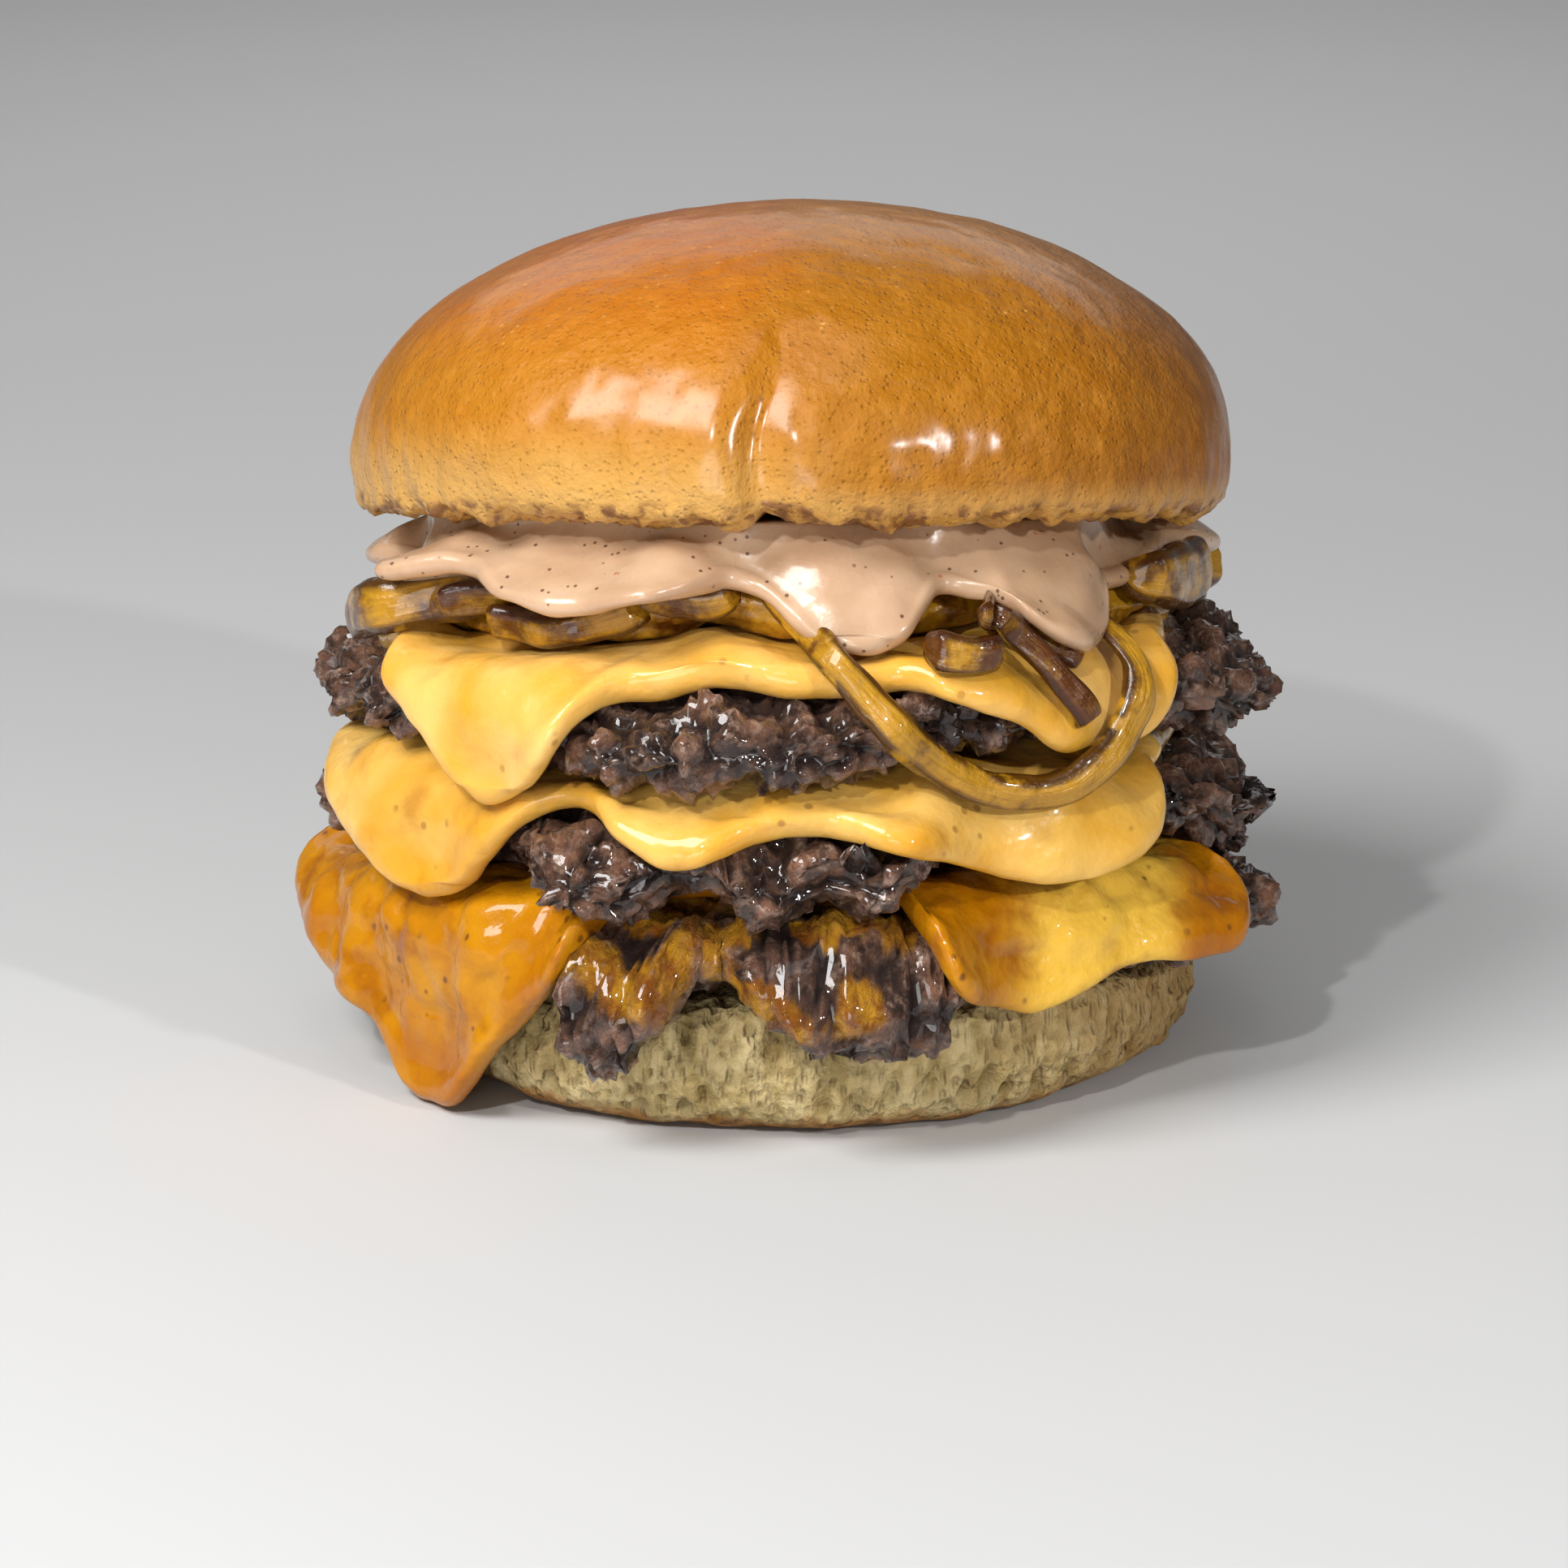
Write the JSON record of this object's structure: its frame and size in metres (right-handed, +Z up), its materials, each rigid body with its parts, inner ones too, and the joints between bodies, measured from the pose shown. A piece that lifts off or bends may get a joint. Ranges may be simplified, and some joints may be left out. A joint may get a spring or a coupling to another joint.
{
  "type": "triple cheeseburger",
  "caption": "Tall smashed-patty cheeseburger with melted cheese, fried onions and pink sauce in a domed glossy bun.",
  "frame": {"origin": "middle of the flat underside of the heel, on the surface that the burger stands on", "axes": "+Z up through the stack, -Y the front that the picture shows, +X to the right in it"},
  "size_m": [0.1216, 0.1231, 0.1051],
  "materials": {
    "bun_crust": "glazed brioche crust, browned on top, tan at the cut",
    "bun_crumb": "soft porous crumb with a thin brown crust at the foot",
    "beef": "charred ground beef, greasy, lumpy",
    "cheese": "melted processed cheese, smooth and glossy",
    "cheese_dark": "melted cheese darkened by meat juice, greasy, brown flecks",
    "onion": "fried onion, translucent, oily",
    "onion_browned": "fried onion, dark brown edges, oily",
    "sauce": "pink burger sauce with dark specks, wet"
  },
  "bodies": {
    "root": {"bun_heel": "bun_crumb", "patty_bottom": "beef", "cheese_bottom": "cheese_dark", "patty_middle": "beef", "cheese_middle": "cheese", "patty_top": "beef", "cheese_top": "cheese", "onion_bed": "onion", "onion_slice_left": "onion", "onion_dark_left": "onion_browned", "onion_strip_left": "onion_browned", "onion_strip_middle": "onion", "onion_loop": "onion", "onion_piece_right": "onion_browned", "onion_strip_right": "onion", "onion_brown_strand": "onion_browned", "onion_slice_right": "onion", "onion_strip_back_left": "onion", "onion_strip_back": "onion_browned", "onion_slice_back_right": "onion", "burger_sauce": "sauce", "bun_crown": "bun_crust"}
  },
  "joints": []
}
